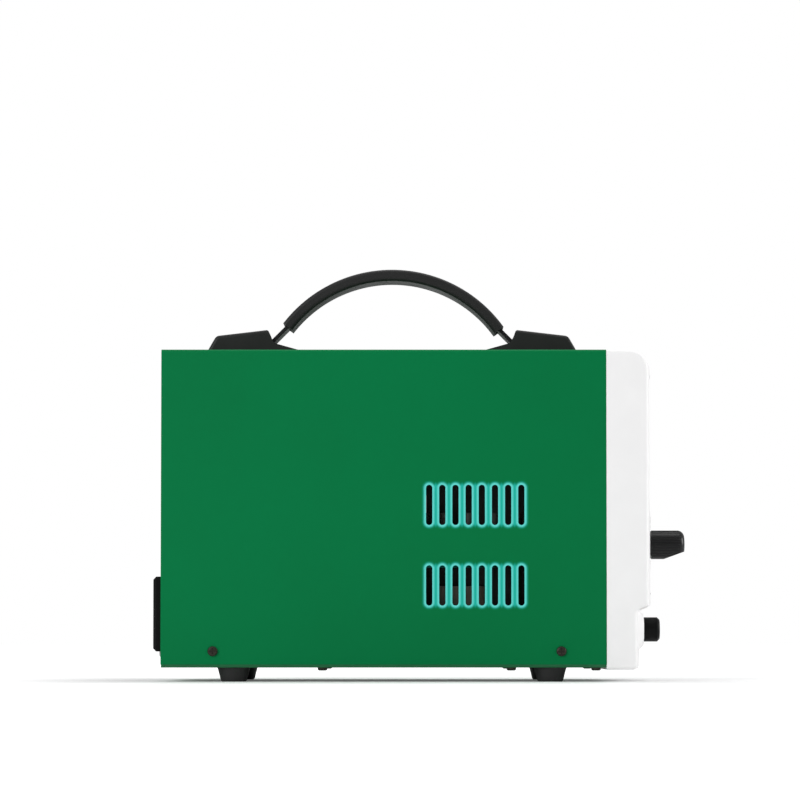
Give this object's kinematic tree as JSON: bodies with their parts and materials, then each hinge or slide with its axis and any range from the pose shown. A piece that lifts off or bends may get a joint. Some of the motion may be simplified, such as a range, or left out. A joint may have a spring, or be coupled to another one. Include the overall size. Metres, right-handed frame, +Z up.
{
  "type": "tig welder",
  "caption": "Portable inverter TIG welding power source: green sheet-metal case, white moulded front with sockets and a control knob, strap carrying handle, rubber feet.",
  "frame": {"origin": "under the middle of the machine, on the surface its feet stand on", "axes": "+X out of the front, +Z up, +Y towards the right-hand side seen from the front"},
  "size_m": [0.3434, 0.129, 0.2702],
  "materials": {
    "green_paint": "satin",
    "black_sheet": "satin",
    "white_plastic": "satin",
    "black_rubber": "matte",
    "black_plastic": "satin",
    "gloss_black": "gloss",
    "red_plastic": "gloss",
    "smoked_lens": "gloss",
    "light_pipe": "gloss",
    "grey_plastic": "satin",
    "dark_screw": "satin",
    "spring_steel": "satin",
    "plated_steel": "gloss",
    "brass": "satin",
    "copper": "satin",
    "circuit_board": "satin",
    "heatsink_metal": "satin",
    "black_epoxy": "matte",
    "clear_hose": "satin"
  },
  "bodies": {
    "case": {"bezel_screws": "dark_screw", "case_screws": "dark_screw", "chassis_pan": "green_paint", "control_board": "circuit_board", "control_fascia": "gloss_black", "cover": "green_paint", "cover_screws": "dark_screw", "display_window": "smoked_lens", "earth_stud": "plated_steel", "encoder_body": "plated_steel", "fan_frame": "black_plastic", "fan_screws": "dark_screw", "fan_stator": "copper", "foot_front_left": "black_rubber", "foot_front_right": "black_rubber", "foot_rear_left": "black_rubber", "foot_rear_right": "black_rubber", "foot_screws": "dark_screw", "front_bezel": "white_plastic", "front_plate": "black_sheet", "gas_hoses": "clear_hose", "gas_inlet": "brass", "gas_outlet": "brass", "handle_anchors": "spring_steel", "handle_cap_front": "black_plastic", "handle_cap_rear": "black_plastic", "handle_grip": "black_rubber", "handle_screws": "dark_screw", "handle_strap": "spring_steel", "heatsinks": "heatsink_metal", "ignition_unit": "black_plastic", "indicator_lenses": "light_pipe", "inlet_body": "black_plastic", "internal_leads": "copper", "main_board": "circuit_board", "mains_terminals": "brass", "output_inductor": "copper", "power_capacitors": "heatsink_metal", "power_transistors": "black_epoxy", "rear_panel": "black_sheet", "socket_collar_negative": "black_plastic", "socket_collar_positive": "black_plastic", "socket_contact_negative": "brass", "socket_contact_positive": "brass", "socket_nuts": "brass", "socket_plate": "circuit_board", "solenoid_valve": "brass", "switch_frame": "black_plastic", "transformer_core": "black_epoxy", "transformer_winding": "copper", "trigger_socket_insert": "black_plastic", "trigger_socket_shell": "plated_steel"},
    "knob_plunger": {"encoder_plunger": "plated_steel"},
    "knob": {"encoder_shaft": "plated_steel", "control_knob": "black_plastic"},
    "mode_key": {"mode_button": "grey_plastic"},
    "cycle_key": {"cycle_button": "grey_plastic"},
    "gas_test_key": {"gas_test_button": "grey_plastic"},
    "rocker": {"power_rocker": "red_plastic"},
    "fan": {"fan_rotor": "black_plastic"}
  },
  "joints": [
    {"name": "knob_push", "type": "slide", "parent": "case", "child": "knob_plunger", "axis": [-1, 0, 0], "range_m": [0, 0.0006], "stiffness_N_per_m": 2500, "springref_m": -0.0004},
    {"name": "knob_turn", "type": "hinge", "parent": "knob_plunger", "child": "knob", "pos_m": [0.16, -0.03, 0.0885], "axis": [1, 0, 0], "continuous": true},
    {"name": "mode_press", "type": "slide", "parent": "case", "child": "mode_key", "axis": [-1, 0, 0], "range_m": [0, 0.0008], "stiffness_N_per_m": 1500, "springref_m": -0.0004},
    {"name": "cycle_press", "type": "slide", "parent": "case", "child": "cycle_key", "axis": [-1, 0, 0], "range_m": [0, 0.0008], "stiffness_N_per_m": 1500, "springref_m": -0.0004},
    {"name": "gas_test_press", "type": "slide", "parent": "case", "child": "gas_test_key", "axis": [-1, 0, 0], "range_m": [0, 0.0008], "stiffness_N_per_m": 1500, "springref_m": -0.0004},
    {"name": "power_tip", "type": "hinge", "parent": "case", "child": "rocker", "pos_m": [-0.163, -0.033, 0.0434], "axis": [0, -1, 0], "range_deg": [0, 16]},
    {"name": "fan_turn", "type": "hinge", "parent": "case", "child": "fan", "pos_m": [-0.15, 0, 0.14], "axis": [1, 0, 0], "continuous": true}
  ]
}
